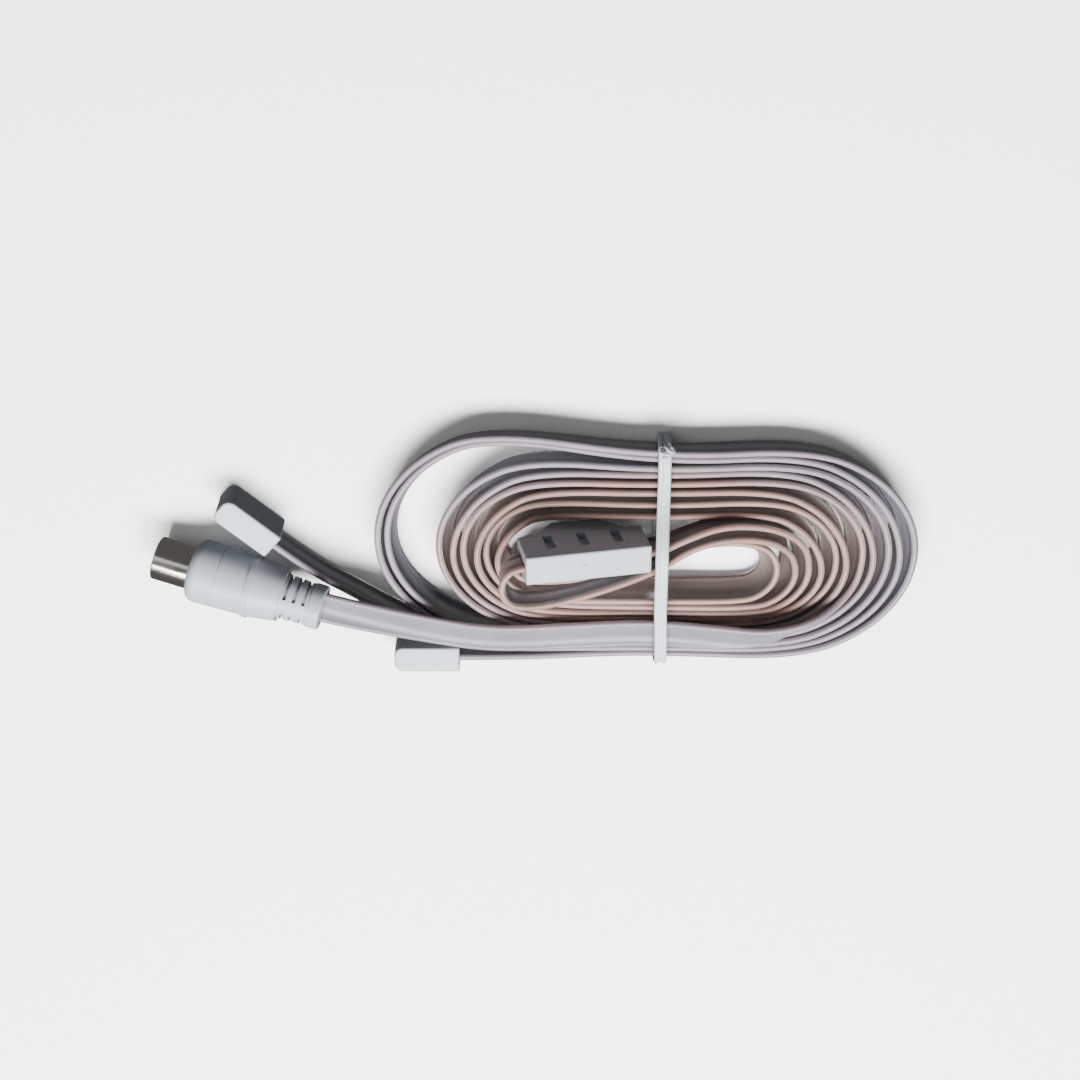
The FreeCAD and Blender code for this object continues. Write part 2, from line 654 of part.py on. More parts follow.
def band_ring(outside, inside, width):
    """The strap between two distances from its inner face, in the plane across the hank."""
    outer = Part.Wire(Part.__sortEdges__(side_edges(BAND_ROUTE, outside, True)))
    inner_wire = Part.Wire(Part.__sortEdges__(side_edges(BAND_ROUTE, inside, True)))
    face = Part.Face(outer).cut(Part.Face(inner_wire))
    ring = face.extrude(UP * width)
    ring.translate(UP * (-width / 2))
    return ring


thick, depth = size("band_thick"), size("band_groove_depth")
band = band_ring(thick, 0.0, size("band_width"))
band = band.cut(band_ring(thick + depth, thick - depth, size("band_groove_width")))
knot_radius = size("band_knot_radius")
knot_stand = 0.6 * thick
knot_centre = Vector(BAND_SHOULDER[0] + knot_stand, BAND_SHOULDER[1] + knot_stand, knot_radius / 2)
knot = Part.makeSphere(knot_radius, knot_centre)
band = band.fuse(knot)
across_hank = FreeCAD.Placement(Vector(PLACE * STRETCH, 0, 0),
                                 FreeCAD.Rotation(Vector(0, 1, 0), UP, Vector(1, 0, 0), "XYZ"))
feature("tie_band", band.removeSplitter(), across_hank)

# Every piece is checked, set on the common origin and written out.

doc.recompute()
NODES = ("plug_sleeve", "plug_pin", "plug_insulator", "plug_housing", "lead_in_hank", "lead_in_tail",
         "left_arm_hank", "left_arm_tail", "right_arm_hank", "right_arm_tail", "tee_junction",
         "left_arm_cap", "right_arm_cap", "tie_band")
for item in doc.Objects:
    if {"Invalid", "Error"} & set(item.State):
        raise RuntimeError(f"{item.Label} failed: {item.State}")
pieces = [doc.getObjectsByLabel(node)[0] for node in NODES]
whole = FreeCAD.BoundBox()
for piece in pieces:
    shape = piece.Shape
    if shape.isNull() or not shape.isValid() or len(shape.Solids) != 1:
        raise RuntimeError(f"{piece.Label} is not one sound solid")
    whole.add(shape.optimalBoundingBox(False))
to_origin = Vector(-whole.Center.x, -whole.Center.y, -whole.ZMin)
for piece in pieces:
    piece.Placement = FreeCAD.Placement(to_origin, FreeCAD.Rotation()).multiply(piece.Placement)
doc.recompute()
print(f"moved by {to_origin}, size {whole.XLength:.2f} x {whole.YLength:.2f} x {whole.ZLength:.2f}")

os.makedirs("parts", exist_ok=True)
for piece in pieces:
    piece.Shape.exportStep(f"parts/{piece.Label}.step")
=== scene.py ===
# %% [markdown]
# This lesson dresses an FM wire antenna, a T-shaped dipole of clear flat ribbon that is still in
# its hank. The solids come in as a fixed frame in metres. The ribbons and the tie are swept again
# here with their true section, and every moulded piece keeps its solid and gets a finish.

# %% Load the frame
import bmesh
import bpy
import math
from mathutils import Matrix, Vector


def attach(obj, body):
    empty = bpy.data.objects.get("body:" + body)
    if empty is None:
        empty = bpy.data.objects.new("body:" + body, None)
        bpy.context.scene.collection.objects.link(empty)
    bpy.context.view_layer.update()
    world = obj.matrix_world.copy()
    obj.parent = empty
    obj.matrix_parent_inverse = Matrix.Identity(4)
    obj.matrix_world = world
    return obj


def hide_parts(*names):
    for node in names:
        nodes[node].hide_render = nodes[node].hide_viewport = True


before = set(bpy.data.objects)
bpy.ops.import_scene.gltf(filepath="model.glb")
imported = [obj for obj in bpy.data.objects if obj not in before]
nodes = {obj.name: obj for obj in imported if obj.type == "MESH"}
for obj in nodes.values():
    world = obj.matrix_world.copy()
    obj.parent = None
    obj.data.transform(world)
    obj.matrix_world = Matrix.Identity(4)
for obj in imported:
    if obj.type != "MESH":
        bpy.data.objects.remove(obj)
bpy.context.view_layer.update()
print("solids:", sorted(nodes))

# %% [markdown]
# The picture was taken from above, with the camera leaning over the far side of the hank, and then
# turned upside down. So the camera stands on the +Y side and its own up points along +Y and into
# the floor. A camera's matrix has its right, its up and its back as columns, which is simpler here
# than angles.

# %% Camera at the photograph's viewing angle
ELEVATION = math.radians(62)
DISTANCE = 0.42
AIM = Vector((0.0011, -0.0001, 0.0))
LENS, SENSOR = 64, 36
NEAREST = 0.01

right = Vector((1, 0, 0))
up = Vector((0, math.sin(ELEVATION), -math.cos(ELEVATION)))
back = right.cross(up)
camera_data = bpy.data.cameras.new("photo_view")
camera_data.lens = LENS
camera_data.sensor_width = SENSOR
camera_data.clip_start = NEAREST
camera = bpy.data.objects.new("photo_view", camera_data)
bpy.context.scene.collection.objects.link(camera)
turned = Matrix((right, up, back)).transposed().to_4x4()
camera.matrix_world = Matrix.Translation(AIM + back * DISTANCE) @ turned
bpy.context.scene.camera = camera
print("camera at", [round(c, 3) for c in camera.matrix_world.translation])

# %% [markdown]
# The ribbon is limp and wound by hand, so its turns are a route of chosen points that a NURBS
# spline rounds off. The ends of the hank are half ellipses, so a short loop gives their points,
# which stand a little outside the ellipse because a spline cuts its corners. Every point carries a
# lean in degrees as well, because the strands stand on edge and most of them splay outwards like
# the side of a bowl. Points are in millimetres as they were chosen, and become metres only where
# the spline is made.

# %% Half turns round the ends of the hank
STRAND = 4.4
END_ANGLES = (75, 45, 15, -15, -45, -75)
HALF_STEP = 15
END_LENGTH = 1.25
END_SPREAD = 1 / math.cos(math.radians(HALF_STEP))


def leaning(points, lean):
    """Give each point its lean: one number for all, or one for each."""
    leans = lean if isinstance(lean, tuple) else (lean,) * len(points)
    return [(*point, angle) for point, angle in zip(points, leans)]


def end_turn(end, low, high, side, lean, angles=END_ANGLES, height=STRAND):
    """Points of a half turn round one end; side is 1 at the right and -1 at the left."""
    half = (high - low) / 2
    length = END_LENGTH * half
    points = []
    for angle in angles:
        turn = math.radians(angle) * side
        across = end - side * length + side * length * END_SPREAD * math.cos(turn)
        points.append((across, (low + high) / 2 + half * END_SPREAD * math.sin(turn), height))
    return leaning(points, lean)


print("points in a half turn:", len(end_turn(60, -15, 10, 1, 0)))

# %% [markdown]
# A full turn goes round the left end, along the upper run, round the right end and back along the
# lower run. A run needs only one point, in the tie, which is a little higher than the others
# because the tie also goes under the strands. Beside the tie the strands bulge. The first stretch
# of each arm isn't level: it slopes up to the T, which lies on top of the hank.

# %% Full turns, level runs and the slope up to the T
WAIST = 0.6
TIE = 25.8
OVER_TIE = 5.2
UPPER_LEAN, LOWER_LEAN = -6, -14


def at_tie(across, lean):
    return [(TIE, across, OVER_TIE, lean)]


def full_turn(left, low, high, right, next_low, leans, height=STRAND,
              loose=WAIST, rise=WAIST, sag=WAIST):
    """Once round the hank: its reach, where it passes the tie, and its bulges beside the tie."""
    left_lean, right_lean = leans
    return (end_turn(left, low - WAIST, high + loose, -1, left_lean, height=height)
            + at_tie(high, UPPER_LEAN)
            + end_turn(right, next_low - sag, high + rise, 1, right_lean, height=height)
            + at_tie(next_low, LOWER_LEAN))


def level(points, lean, height=STRAND):
    return leaning([(x, y, height) for x, y in points], lean)


def raised(points, seam, rise, lean):
    """The first stretch of an arm, which slopes up to the T from where it joins the flat hank."""
    slope = math.radians(rise)
    return leaning([(seam - (seam - x) * math.cos(slope), y, STRAND + (seam - x) * math.sin(slope))
                    for x, y in points], lean)


print("points in a full turn:", len(full_turn(-10, -10, 10, 60, -15, (0, 0))))

# %% [markdown]
# Each arm leaves its end of the T high up, goes down to the inner turns and is wound outwards from
# there. Its last turn is loose at the left, which is why that turn bulges more and leans less where
# it stands free. The left arm lies a little lower than the right one, so that beads side by side
# are not at one height. Neighbouring turns are alternately upright and splayed, because strands
# with one and the same lean would show the floor between them where they are seen edge on.

# %% Routes of the two arms, from the T to their caps
LAST_HALF = END_ANGLES[3:]
LOOSE_LEAN = (-12, -10, -9, -12, -18, -16)
UPRIGHT = (0, 7, 3, -21, -22, -16)
SPLAYED = (-4, -15, -22, -22, -18, -14)
UPRIGHT_ENDS = (UPRIGHT[::-1], UPRIGHT)
SPLAYED_ENDS = (SPLAYED[::-1], SPLAYED)
LOW, HIGH = 3.9, 4.5

left_arm_route = raised(
    [(-0.2, 3.9), (-6.6, 3.9), (-9.4, 1.1), (-9.4, -2.8), (-6.6, -5.6), (0.5, -5.9), (11.5, -4.2),
     (24.3, -0.6), (32.6, 4.4), (41.2, 5.6), (48.9, 4.3), (52.9, 1.7), (54.2, -1.1)],
    seam=55.0, rise=12.0, lean=(0, 0, 0, 0, 0, 0, -4, -6, -4, 0, 3, 0, -14))
left_arm_route += end_turn(54.2, -11.9, 4.5, 1, -26, LAST_HALF) + at_tie(-11.3, -22)
left_arm_route += full_turn(-10.5, -11.3, 12.1, 62.9, -16.0, SPLAYED_ENDS, LOW)
left_arm_route += full_turn(-18.2, -16.0, 19.1, 71.4, -19.1, UPRIGHT_ENDS, LOW,
                            loose=0.8, rise=1.0, sag=1.2)
left_arm_route += full_turn(-32.2, -19.1, 22.2, 77.1, -21.8, (LOOSE_LEAN, UPRIGHT), LOW,
                            loose=5.2, rise=1.4, sag=1.6)
left_arm_route += level([(6.0, -22.6), (-8.0, -22.8), (-19.5, -21.0), (-30.5, -16.0),
                         (-41.0, -9.1), (-49.6, -4.0), (-61.0, 5.9)],
                        (-11, -9, -6, -3, 0, 0, 0))

right_arm_route = raised(
    [(17.0, 3.9), (24.0, 3.9), (30.6, 6.6), (38.6, 8.8), (47.0, 7.6), (52.6, 5.2), (55.8, 2.2),
     (57.0, -0.9)],
    seam=58.5, rise=10.9, lean=(0, 0, -4, -6, -11, -15, -18, -20))
right_arm_route += end_turn(57.0, -13.4, 6.5, 1, -24, LAST_HALF) + at_tie(-12.8, -20)
right_arm_route += full_turn(-13.0, -12.8, 15.0, 65.6, -17.6, UPRIGHT_ENDS, HIGH)
right_arm_route += full_turn(-20.6, -17.6, 20.4, 74.0, -20.5, SPLAYED_ENDS, HIGH,
                             loose=2.2, rise=1.2, sag=1.4)
right_arm_route += full_turn(-34.3, -20.5, 23.5, 79.6, -23.1, (LOOSE_LEAN, SPLAYED), HIGH,
                             loose=5.2, rise=1.6, sag=1.8)
right_arm_route += level([(10.0, -24.2), (-4.0, -25.3), (-22.8, -25.5)], (-10, -4, 0))
for name, route in (("left arm", left_arm_route), ("right arm", right_arm_route)):
    print(name, "has", len(route), "points from", route[0][:3], "to", route[-1][:3])

# %% [markdown]
# The lead-in leaves the stem of the T, makes the innermost turns, and then turns over from its edge
# to its flat side and lies on the lower run on its way to the plug. Where it turns over it has to
# climb, so that its lower edge passes over the strands beside it and not through them.

# %% Route of the lead-in, from the T to the plug
ON_TOP = 9.6
LYING = 78

lead_in_route = [(9.2, 3.9, 8.0, 0), (7.2, 3.0, 5.0, 0), (4.6, 1.1, 3.8, 0)]
lead_in_route += level([(-2.4, 0.7), (-5.6, -1.1), (-5.6, -4.4), (-2.4, -6.3), (4.0, -6.4),
                        (14.0, -5.0), (25.0, -2.2), (33.4, 1.4), (40.6, 2.4)],
                       (0, 0, 0, 0, 0, -4, -8, -14, -18))
lead_in_route += end_turn(50.0, -10.2, 2.6, 1, -26, END_ANGLES[1:]) + at_tie(-9.8, -24)
lead_in_route += full_turn(-8.5, -9.8, 9.4, 60.3, -14.4, UPRIGHT_ENDS)
lead_in_route += end_turn(-15.4, -15.0, 17.6, -1, SPLAYED[::-1]) + at_tie(17.0, UPPER_LEAN)
lead_in_route += end_turn(68.4, -18.2, 17.8, 1, SPLAYED[:4], END_ANGLES[:4])
lead_in_route += [(65.0, -11.2, 5.4, -10), (58.8, -15.6, 9.4, 20), (49.5, -18.6, 11.0, 52),
                  (39.5, -19.0, 10.1, 74)]
lead_in_route += level([(24.5, -17.8), (10.0, -18.4), (-4.4, -19.4), (-13.0, -19.1),
                        (-20.0, -17.9)], LYING, ON_TOP)
lead_in_route += [(-33.0, -14.2, 11.2, 84), (-46.7, -10.5, 11.6, 90), (-51.5, -9.3, 10.9, 90)]
print("lead-in has", len(lead_in_route), "points from", lead_in_route[0][:3],
      "to", lead_in_route[-1][:3])

# %% [markdown]
# The ribbon's section is two round beads, each over a copper wire, joined by a thin web. A curve
# can carry such a section along as its bevel object, so each section is a set of closed outlines on
# an object of its own.

# %% Sections of the ribbon and its wires
MM = 0.001
RIBBON_WIDTH = 7.2
BEAD = 0.75
WEB = 0.34
BEAD_PLACE = RIBBON_WIDTH / 2 - BEAD
BEAD_POINTS = 11
WIRE = 0.42
WIRE_POINTS = 8


def section_object(name, loops):
    """Closed outlines in millimetres that a spline carries along."""
    curve = bpy.data.curves.new(name, "CURVE")
    for loop in loops:
        outline = curve.splines.new("POLY")
        outline.points.add(len(loop) - 1)
        for control, (x, y) in zip(outline.points, loop):
            control.co = (x * MM, y * MM, 0, 1)
        outline.use_cyclic_u = True
    piece = bpy.data.objects.new(name, curve)
    bpy.context.scene.collection.objects.link(piece)
    return piece


def arc(centre, radius, start, end, count):
    """Points of an arc about a place on the section's long axis."""
    turns = [math.radians(start + (end - start) * i / (count - 1)) for i in range(count)]
    return [(radius * math.cos(t), centre + radius * math.sin(t)) for t in turns]


def two_beads(place, radius, web, count):
    """Two round beads with a thin web between them."""
    meet = math.degrees(math.asin(web / radius))
    return (arc(place, radius, meet - 90, 270 - meet, count)
            + arc(-place, radius, 90 + meet, 450 - meet, count))


ribbon_section = two_beads(BEAD_PLACE, BEAD, WEB, BEAD_POINTS)
ribbon_outline = section_object("ribbon_outline", [ribbon_section])
wire_outline = section_object("wire_outline", [
    arc(place, WIRE, 0, 360 - 360 / WIRE_POINTS, WIRE_POINTS)
    for place in (BEAD_PLACE, -BEAD_PLACE)])
print("ribbon section has", len(ribbon_section), "points")

# %% [markdown]
# With a Z-up twist a spline's section stands on its edge all the way round the hank, and the lean
# becomes the tilt of the spline's points. The spline alone, read back as a mesh, gives the centre
# line, and its length and its tightest bend.

# %% Splines and centre lines
ORIGIN = Vector((1.101, -0.072, 0.0))
SPLINE_ORDER = 3
SPLINE_STEPS = 8
ROUTES = {"left_arm": left_arm_route, "right_arm": right_arm_route, "lead_in": lead_in_route}


def spline_object(name, route, twist):
    """A NURBS spline on the route's points; order and end setting come after the points."""
    curve = bpy.data.curves.new(name, "CURVE")
    curve.dimensions = "3D"
    curve.twist_mode = twist
    spline = curve.splines.new("NURBS")
    spline.points.add(len(route) - 1)
    for control, (x, y, z, lean) in zip(spline.points, route):
        control.co = (*((Vector((x, y, z)) + ORIGIN) * MM), 1)
        control.tilt = math.radians(lean)
    spline.order_u = SPLINE_ORDER
    spline.use_endpoint_u = True
    spline.resolution_u = SPLINE_STEPS
    piece = bpy.data.objects.new(name, curve)
    bpy.context.scene.collection.objects.link(piece)
    return piece


def mesh_of(piece):
    bpy.context.view_layer.update()
    graph = bpy.context.evaluated_depsgraph_get()
    return bpy.data.meshes.new_from_object(piece.evaluated_get(graph))


def centreline(name, route):
    """The spline's own points, read from a curve with no section."""
    path_object = spline_object(name + "_line", route, "Z_UP")
    line = mesh_of(path_object)
    points = [vertex.co.copy() for vertex in line.vertices]
    bpy.data.objects.remove(path_object)
    bpy.data.meshes.remove(line)
    return points


def tightest_bend(line):
    """Smallest radius of the circles through three points that follow each other."""
    radii = []
    for a, b, c in zip(line, line[1:], line[2:]):
        area = (b - a).cross(c - a).length / 2
        if area > 0:
            radii.append((b - a).length * (c - b).length * (c - a).length / (4 * area))
    return min(radii)


lines = {name: centreline(name, route) for name, route in ROUTES.items()}
for name, line in lines.items():
    measured = sum((b - a).length for a, b in zip(line, line[1:]))
    print(name, "is", round(measured, 4), "m long, tightest bend",
          round(tightest_bend(line), 4), "m")

# %% [markdown]
# A sweep is the spline with its section, read back as a mesh, because its section object would
# otherwise stay in the scene as a piece. On the ribbon an attribute tells the rounded edge from the
# flat web, so that the edge can be painted paler as a painted highlight and the web darker as
# painted shade. Every ring of the sweep repeats the section's points, so a vertex's number gives
# its place on the section.

# %% Sweeps and the edge attribute
def sweep(name, route, section, twist="Z_UP"):
    """A mesh of one section swept along a route's spline."""
    path_object = spline_object(name + "_path", route, twist)
    path_object.data.bevel_mode = "OBJECT"
    path_object.data.bevel_object = section
    path_object.data.use_fill_caps = True
    mesh = mesh_of(path_object)
    bpy.data.objects.remove(path_object)
    mesh.name = name
    for face in mesh.polygons:
        face.use_smooth = True
    piece = bpy.data.objects.new(name, mesh)
    bpy.context.scene.collection.objects.link(piece)
    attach(piece, "root")
    return piece


reach = max(y for _, y in ribbon_section)
web_end = min(abs(y) for _, y in ribbon_section)
edge_marks = [(abs(y) - web_end) / (reach - web_end) for _, y in ribbon_section]


def mark_edges(mesh):
    """Write 0 where the web ends and 1 at the outermost line of a bead."""
    edge = mesh.attributes.new("edge", "FLOAT", "POINT")
    for i, mark in enumerate(edge.data):
        mark.value = edge_marks[i % len(edge_marks)]


print("edge marks round a bead:", [round(mark, 2) for mark in edge_marks[:BEAD_POINTS]])

# %% [markdown]
# Shader maths reads best as plain sums, so a small class stands for a node's output. Sums and
# products of it add Math nodes, and its node method adds any other node with its settings first and
# its sockets after. A Mix node has sockets of the same name for each kind of value, so its colour
# sockets are known by number.

# %% Sockets that work in sums and products
MIX_FACTOR, MIX_FIRST, MIX_SECOND = 0, 6, 7
MIX_COLOUR = 2


class Socket:
    def __init__(self, tree, output):
        self.tree = tree
        self.output = output

    def node(self, kind, settings, sockets, output=0):
        made = self.tree.nodes.new(kind)
        for name, value in settings.items():
            setattr(made, name, value)
        for name, value in sockets.items():
            if isinstance(value, Socket):
                self.tree.links.new(value.output, made.inputs[name])
            else:
                made.inputs[name].default_value = value
        return Socket(self.tree, made.outputs[output])

    def math(self, operation, first, second):
        return self.node("ShaderNodeMath", {"operation": operation}, {0: first, 1: second})

    def __add__(self, other):
        return self.math("ADD", self, other)

    def __sub__(self, other):
        return self.math("SUBTRACT", self, other)

    def __rsub__(self, other):
        return self.math("SUBTRACT", other, self)

    def __mul__(self, other):
        return self.math("MULTIPLY", self, other)

    __radd__ = __add__
    __rmul__ = __mul__

    def noise(self, scale, detail=3.0):
        return self.node("ShaderNodeTexNoise", {},
                         {"Vector": self, "Scale": scale, "Detail": detail})

    def ramp(self, start, end):
        """0 up to the start, 1 from the end on, and even between them."""
        return self.node("ShaderNodeMapRange", {},
                         {"Value": self, "From Min": start, "From Max": end})

    def length(self):
        return self.node("ShaderNodeVectorMath", {"operation": "LENGTH"}, {0: self}, "Value")

    def bump(self, height, strength, distance):
        return self.node("ShaderNodeBump", {},
                         {"Strength": strength, "Distance": distance, "Height": height})

    def blend(self, first, second):
        """A colour that goes from the first to the second as this value goes from 0 to 1."""
        return self.node("ShaderNodeMix", {"data_type": "RGBA"},
                         {MIX_FACTOR: self, MIX_FIRST: first, MIX_SECOND: second}, MIX_COLOUR)

    def between(self, first, second):
        return self.blend((*first, 1), (*second, 1))


print("reflected forms:", sorted(name for name in vars(Socket) if name.startswith("__r")))

# %% [markdown]
# The ribbon is clear soft plastic over copper. Its web is painted dark as painted shade and its
# rounded edges paler as a painted highlight, and the edge attribute mixes web and edge. The inner
# turns are painted warm and pink and the outer ones a cool grey with a little blue, as painted
# light, and a stretched distance from the middle of the hank mixes warm and cool. The lead-in is
# painted cool too where it lies on top of the lower run, so its height and its side pick it out.
# Part of the light goes through, so that the wires show in their beads.

# %% Finish of the clear ribbon
HANK_SHIFT, HANK_SCALE = (-0.52, 0.0, 0.0), (20.0, 48.0, 0.0)
OUTER_TURNS = (0.88, 1.06)
LEAD_IN_HEIGHT = (0.0082, 0.0094)
LEAD_IN_SIDE = (-0.0085, -0.0105)
# Web tones are the plastic's tint darkened as painted shade, and rim tones are painted highlights.
# The inner pairs are painted warm light and the outer pairs painted cool light.
INNER_WEB_PAINTED_WARM_SHADE = ((0.16, 0.115, 0.105), (0.2, 0.15, 0.135))
OUTER_WEB_PAINTED_COOL_SHADE = ((0.16, 0.158, 0.19), (0.2, 0.197, 0.232))
INNER_RIM_PAINTED_WARM_HIGHLIGHT = ((0.25, 0.145, 0.125), (0.31, 0.185, 0.16))
OUTER_RIM_PAINTED_COOL_HIGHLIGHT = ((0.195, 0.172, 0.205), (0.24, 0.212, 0.25))


def new_finish(name, **constants):
    material = bpy.data.materials.new(name)
    material.use_nodes = True
    tree = material.node_tree
    shader = tree.nodes["Principled BSDF"]
    for socket, value in constants.items():
        shader.inputs[socket.replace("_", " ")].default_value = value
    place = Socket(tree, tree.nodes.new("ShaderNodeTexCoord").outputs["Object"])
    return material, shader, place


def feed(shader, **values):
    for socket, value in values.items():
        value.tree.links.new(value.output, shader.inputs[socket.replace("_", " ")])


clear_ribbon, shader, place = new_finish("clear_ribbon", Transmission_Weight=0.3, IOR=1.45,
                                         Specular_IOR_Level=0.2)
edge = place.node("ShaderNodeAttribute", {"attribute_name": "edge"}, {}, "Fac")
ring = place.node("ShaderNodeMapping", {}, {"Vector": place, "Location": HANK_SHIFT,
                                            "Scale": HANK_SCALE}).length()
side, height = [place.node("ShaderNodeSeparateXYZ", {}, {"Vector": place}, axis) for axis in "YZ"]
lifted = height.ramp(*LEAD_IN_HEIGHT) * side.ramp(*LEAD_IN_SIDE)
# Painted cool light on the outer turns and on the lead-in lying on top; the inner turns keep
# painted warm light.
painted_cool_light = place.math("MAXIMUM", ring.ramp(*OUTER_TURNS), lifted) * 0.85 + 0.15 * place.noise(45.0)
cloud = place.noise(70.0).ramp(0.3, 0.7)
web = painted_cool_light.blend(cloud.between(*INNER_WEB_PAINTED_WARM_SHADE), cloud.between(*OUTER_WEB_PAINTED_COOL_SHADE))
painted_rim_highlight = painted_cool_light.blend(cloud.between(*INNER_RIM_PAINTED_WARM_HIGHLIGHT), cloud.between(*OUTER_RIM_PAINTED_COOL_HIGHLIGHT))
# Base colour: a painted highlight on the bead edges over painted shade on the web.
feed(shader, Base_Color=edge.ramp(0.25, 0.85).blend(web, painted_rim_highlight),
     Roughness=0.24 + 0.18 * place.noise(220.0),
     Normal=place.bump(place.noise(260.0), strength=0.03, distance=0.0002))
print(clear_ribbon.name, "has", len(clear_ribbon.node_tree.nodes), "nodes")

# %% [markdown]
# The wires are seen only through the plastic, so plain copper is enough for them, with a tone and a
# shine that vary a little.

# %% Finish of the copper wires
COPPER_TONES = ((0.52, 0.31, 0.23), (0.64, 0.41, 0.32))

copper, shader, place = new_finish("copper", Metallic=1.0)
feed(shader, Base_Color=place.noise(400.0).between(*COPPER_TONES),
     Roughness=0.25 + 0.15 * place.noise(900.0))
print(copper.name, "has", len(copper.node_tree.nodes), "nodes")

# %% [markdown]
# Every ribbon is a cord with its two wires in it. It replaces the two solids of its run and its
# tail and ends in its cap or its plug, and the table gives the length that such an antenna has in
# this hank.

# %% Ribbons with their wires
RIBBONS = (
    ("left_arm", 0.88, "fitting", ["left_arm_cap"]),
    ("right_arm", 0.85, "fitting", ["right_arm_cap"]),
    ("lead_in", 0.57, "plug", ["plug_housing", "plug_sleeve", "plug_insulator", "plug_pin"]),
)
for name, length, far_end, ends in RIBBONS:
    ribbon = sweep(name, ROUTES[name], ribbon_outline)
    mark_edges(ribbon.data)
    ribbon.data.materials.append(clear_ribbon)
    wires = sweep(name + "_wires", ROUTES[name], wire_outline)
    wires.data.materials.append(copper)
    line = lines[name]
    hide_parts(name + "_hank", name + "_tail")
    print(name, "has", len(ribbon.data.polygons), "faces, its wires", len(wires.data.polygons))
for outline in (ribbon_outline, wire_outline):
    bpy.data.objects.remove(outline)

# %% [markdown]
# A flat white tie of two lobes holds the hank. It lies close on the strands, humps over the inner
# turns that slope up to the T, and goes under everything on the floor. Its two ends are twisted
# together at the upper side. Both are sweeps again: a tilt of a quarter turn lays the tie flat, and
# the twist is only a tilt that keeps growing along a very short spline.

# %% Tie round the hank and its twisted ends
LOBE = 0.62
LOBE_POINTS = 9
TIE_HALF = 1.4
TIE_WEB = 0.24
LAID_FLAT = 90
TWIST_STEP = 150
TIE_LOOP = (
    (26.1, 25.9, 8.5), (26.1, 26.3, 4.4), (26.1, 26.2, 0.9), (26.1, 24.6, 0.62), (25.7, 8.0, 0.62),
    (25.7, -8.0, 0.62), (26.2, -24.0, 0.62), (26.2, -25.9, 0.9), (26.3, -26.2, 4.4),
    (26.4, -25.9, 8.6), (26.4, -23.8, 11.2), (26.3, -19.0, 11.7), (26.0, -12.0, 11.9),
    (25.8, -5.0, 14.8), (25.7, -1.0, 16.3), (25.7, 4.6, 16.3), (25.8, 8.4, 14.2),
    (26.0, 13.0, 11.0), (26.1, 19.0, 9.7), (26.1, 24.4, 9.5), (26.1, 25.9, 8.5))
TIE_TWIST = ((26.1, 24.9, 9.1), (26.3, 25.9, 9.5), (26.9, 26.6, 9.8), (27.5, 27.0, 9.9))

tie_section = two_beads(TIE_HALF - LOBE, LOBE, TIE_WEB, LOBE_POINTS)
tie_outline = section_object("tie_outline", [tie_section])
tie_route = [(*point, LAID_FLAT) for point in TIE_LOOP]
twist_route = [(*point, TWIST_STEP * i) for i, point in enumerate(TIE_TWIST)]
tie = sweep("tie", tie_route, tie_outline, "MINIMUM")
twist = sweep("tie_twist", twist_route, tie_outline, "MINIMUM")
bpy.data.objects.remove(tie_outline)
for piece in (tie, twist):
    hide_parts("tie_band")
across = [vertex.co.x for vertex in tie.data.vertices]
print("tie is", round((max(across) - min(across)) / MM, 2), "mm wide over its slant")

# %% [markdown]
# On the real T a small round spot in the middle of its upper side shows where the plastic entered
# the mould. It is a low disc with a rounded rim, so it starts as a short cylinder whose rim is
# bevelled, and is then tipped to the slope of the T.

# %% Gate mark on the T
GATE_RADIUS, GATE_HEIGHT, GATE_BEVEL = 0.7, 0.3, 0.08
GATE_SIDES = 24
TOP_NORMAL = Vector((0.208, 0.0, 0.978))
UPWARD = 0.9


def top_area(face):
    return face.area * (face.normal.z > UPWARD)


top_middle = max(nodes["tee_junction"].data.polygons, key=top_area).center
gate_place = Vector((0.0105, 0.0037, 0.0))
gate_place.z = top_middle.z - (gate_place.x - top_middle.x) * TOP_NORMAL.x / TOP_NORMAL.z
slope = Vector((0, 0, 1)).rotation_difference(TOP_NORMAL).to_matrix()

gate_bmesh = bmesh.new()
bmesh.ops.create_cone(gate_bmesh, cap_ends=True, segments=GATE_SIDES, radius1=GATE_RADIUS * MM,
                      radius2=GATE_RADIUS * MM, depth=GATE_HEIGHT * MM)
rim_edges = [e for e in gate_bmesh.edges if all(v.co.z > 0 for v in e.verts)]
bmesh.ops.bevel(gate_bmesh, geom=rim_edges, offset=GATE_BEVEL * MM, segments=2, profile=0.5,
                affect="EDGES", material=-1)
bmesh.ops.rotate(gate_bmesh, verts=gate_bmesh.verts, matrix=slope)
bmesh.ops.translate(gate_bmesh, verts=gate_bmesh.verts, vec=gate_place)
gate_mesh = bpy.data.meshes.new("gate_mark")
gate_bmesh.to_mesh(gate_mesh)
gate_bmesh.free()
gate = bpy.data.objects.new("gate_mark", gate_mesh)
bpy.context.scene.collection.objects.link(gate)
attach(gate, "root")
print("gate mark at", [round(c / MM, 2) for c in gate_place])

# %% [markdown]
# The mouldings are one white plastic with a soft shine and a very fine grain, a little uneven in
# tone, with specks of dust. The plug's tube is nickel, bright and slightly yellow, so it mirrors
# the lamp as one streak and is dark beside it. The tie is a softer plastic than the mouldings, a
# little paler and smoother.

# %% Finishes of the moulded and plated pieces
WHITE_TONES = ((0.275, 0.298, 0.328), (0.315, 0.338, 0.37))
DUST_TONES = ((0.33, 0.34, 0.35), (0.26, 0.26, 0.26))
NICKEL_TONES = ((0.52, 0.49, 0.45), (0.64, 0.61, 0.57))
TIE_TONES = ((0.42, 0.45, 0.47), (0.48, 0.51, 0.53))

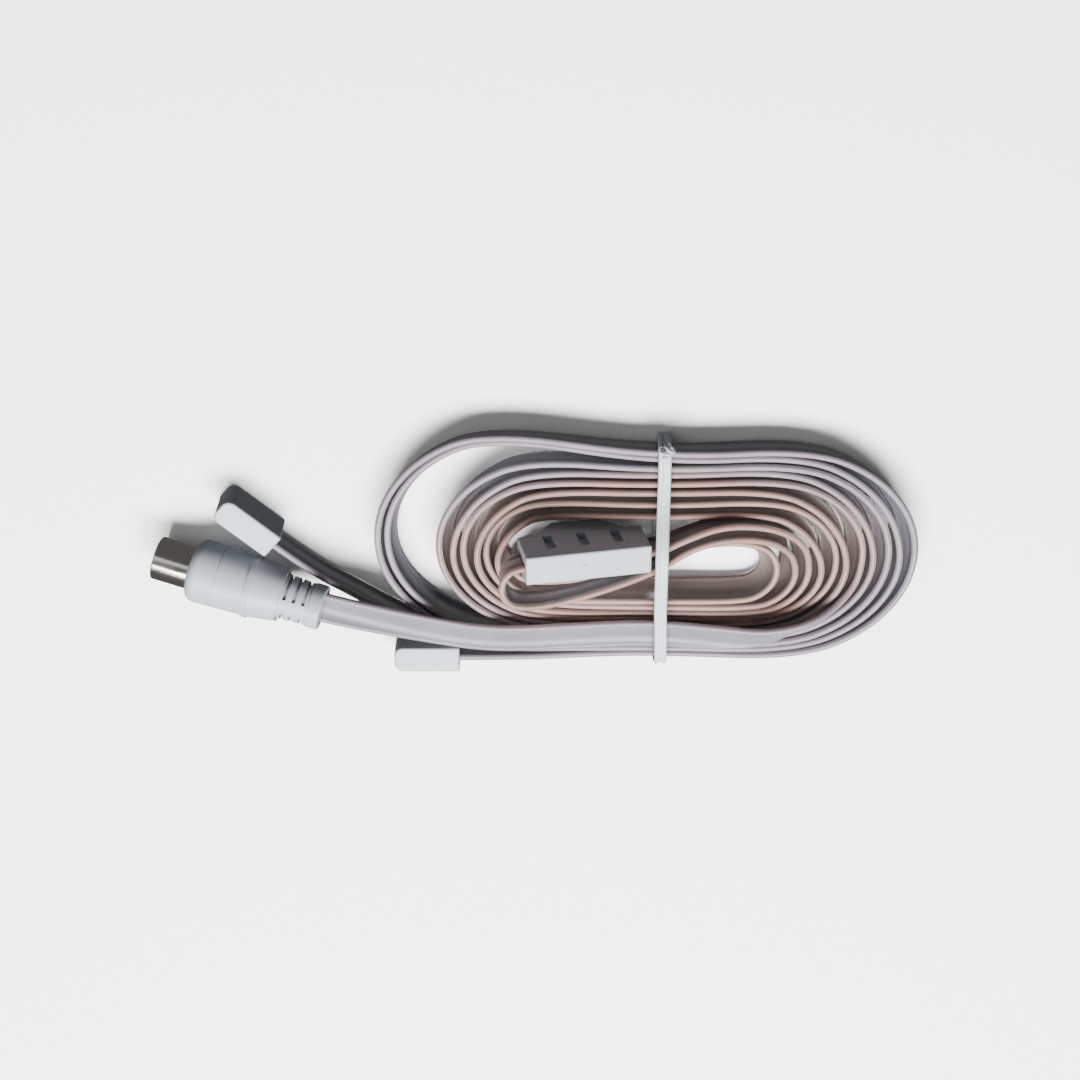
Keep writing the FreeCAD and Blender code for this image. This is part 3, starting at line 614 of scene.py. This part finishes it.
white_plastic, shader, place = new_finish("white_plastic", IOR=1.49)
tone = place.noise(35.0).between(*WHITE_TONES)
dust = place.noise(1400.0, detail=2.0).ramp(0.66, 0.74) * 0.5
feed(shader, Base_Color=dust.blend(tone, dust.between(*DUST_TONES)),
     Roughness=0.36 + 0.14 * place.noise(300.0),
     Normal=place.bump(place.noise(2600.0), strength=0.12, distance=0.0001))

nickel, shader, place = new_finish("nickel", Metallic=1.0)
feed(shader, Base_Color=place.noise(150.0).between(*NICKEL_TONES),
     Roughness=0.1 + 0.1 * place.noise(500.0))

tie_plastic, shader, place = new_finish("tie_plastic", IOR=1.46)
feed(shader, Base_Color=place.noise(90.0).between(*TIE_TONES),
     Roughness=0.3 + 0.12 * place.noise(400.0),
     Normal=place.bump(place.noise(1500.0), strength=0.1, distance=0.0001))

MOULDED = ("plug_housing", "plug_insulator", "tee_junction", "left_arm_cap", "right_arm_cap")
PLATED = ("plug_sleeve", "plug_pin")
DRESSED = ((white_plastic, [nodes[name] for name in MOULDED] + [gate]),
           (nickel, [nodes[name] for name in PLATED]),
           (tie_plastic, [tie, twist]))
for finish, pieces in DRESSED:
    for piece in pieces:
        piece.data.materials.clear()
        piece.data.materials.append(finish)
    print(finish.name, "on", [piece.name for piece in pieces])

# %% [markdown]
# The picture has a white ground, so the floor is one large pale square. It doesn't show in the
# pieces, because its light from below would wash out the dark gaps between the strands.

# %% Floor
FLOOR_HALF = 3.0
PALE = (0.97, 0.97, 0.97, 1)

floor_bmesh = bmesh.new()
bmesh.ops.create_grid(floor_bmesh, x_segments=1, y_segments=1, size=FLOOR_HALF)
floor_mesh = bpy.data.meshes.new("floor")
floor_bmesh.to_mesh(floor_mesh)
floor_bmesh.free()
floor = bpy.data.objects.new("floor", floor_mesh)
bpy.context.scene.collection.objects.link(floor)
floor.visible_diffuse = False
floor.visible_glossy = False
floor.visible_transmission = False
pale_floor = new_finish("pale_floor", Base_Color=PALE, Roughness=0.7)[0]
floor_mesh.materials.append(pale_floor)
print("floor is", 2 * FLOOR_HALF, "m wide")

# %% [markdown]
# A long soft lamp hangs in front of the hank, so that upper edges are bright and faces that look
# away from it are dark. A weak one and a weak white sky fill the shade.

# %% Soft light
SKY_STRENGTH = 0.14

world = bpy.data.worlds.new("studio")
world.use_nodes = True
world.node_tree.nodes["Background"].inputs["Color"].default_value = (1, 1, 1, 1)
world.node_tree.nodes["Background"].inputs["Strength"].default_value = SKY_STRENGTH
bpy.context.scene.world = world


def soft_light(name, place, width, depth, power):
    data = bpy.data.lights.new(name, "AREA")
    data.shape = "RECTANGLE"
    data.size = width
    data.size_y = depth
    data.energy = power
    light = bpy.data.objects.new(name, data)
    bpy.context.scene.collection.objects.link(light)
    light.location = place
    light.rotation_euler = (AIM - Vector(place)).to_track_quat("-Z", "Y").to_euler()


soft_light("key", (0.0, -0.38, 0.88), width=1.0, depth=0.4, power=54)
soft_light("fill", (-0.6, 0.4, 0.7), width=0.7, depth=0.7, power=1.6)
print("lamps:", [lamp.name for lamp in bpy.data.lights])

# %% [markdown]
